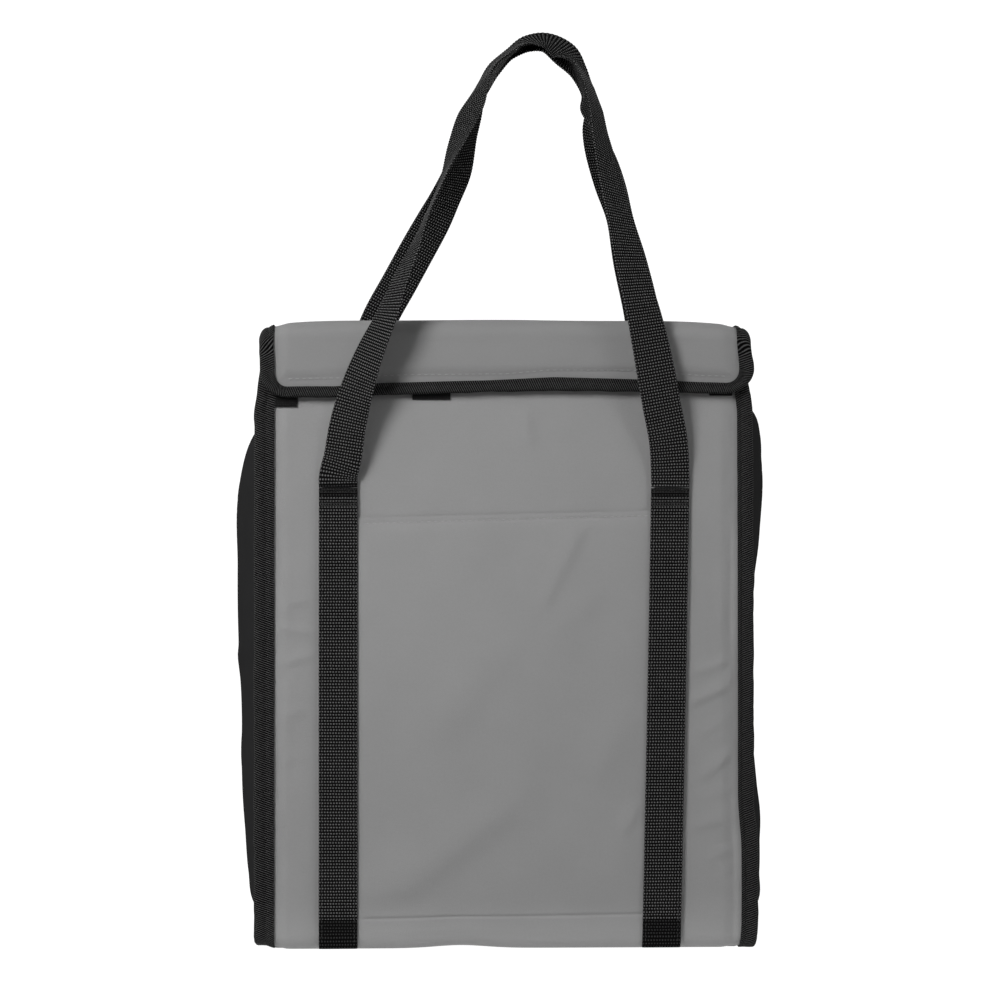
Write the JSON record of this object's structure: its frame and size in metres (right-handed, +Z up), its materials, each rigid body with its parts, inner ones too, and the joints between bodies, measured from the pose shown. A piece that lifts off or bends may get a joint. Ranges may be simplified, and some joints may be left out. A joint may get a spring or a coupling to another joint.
{
  "type": "insulated cooler tote bag",
  "caption": "Upright insulated tote bag with a folded lid, bulging black side gussets, a flat front pocket and two raised webbing handles.",
  "frame": {"origin": "centre of the bag's flat underside", "axes": "+Z up, -Y towards the front with the pocket and the lid's flap, +X to the right seen from the front"},
  "size_m": [0.352, 0.1924, 0.602],
  "materials": {
    "shell_fabric": "mid-grey coated polyester over thin foam, matt with a soft sheen",
    "gusset_fabric": "smooth black polyester, slightly satin",
    "binding_tape": "black ribbed woven tape, matt",
    "webbing": "black ribbed polypropylene webbing with a faint shine on its threads",
    "closure_tape": "black hook-and-loop tape, matt"
  },
  "bodies": {
    "root": {"front_panel": "shell_fabric", "back_panel": "shell_fabric", "base_panel": "shell_fabric", "lid": "shell_fabric", "front_pocket": "shell_fabric", "gusset_left": "gusset_fabric", "gusset_right": "gusset_fabric", "body_binding_left": "binding_tape", "body_binding_right": "binding_tape", "lid_binding": "binding_tape", "front_strap_left": "webbing", "front_strap_right": "webbing", "back_strap_left": "webbing", "back_strap_right": "webbing", "front_handle": "webbing", "back_handle": "webbing", "closure_patch_left": "closure_tape", "closure_patch_middle": "closure_tape", "closure_patch_right": "closure_tape"}
  },
  "joints": []
}
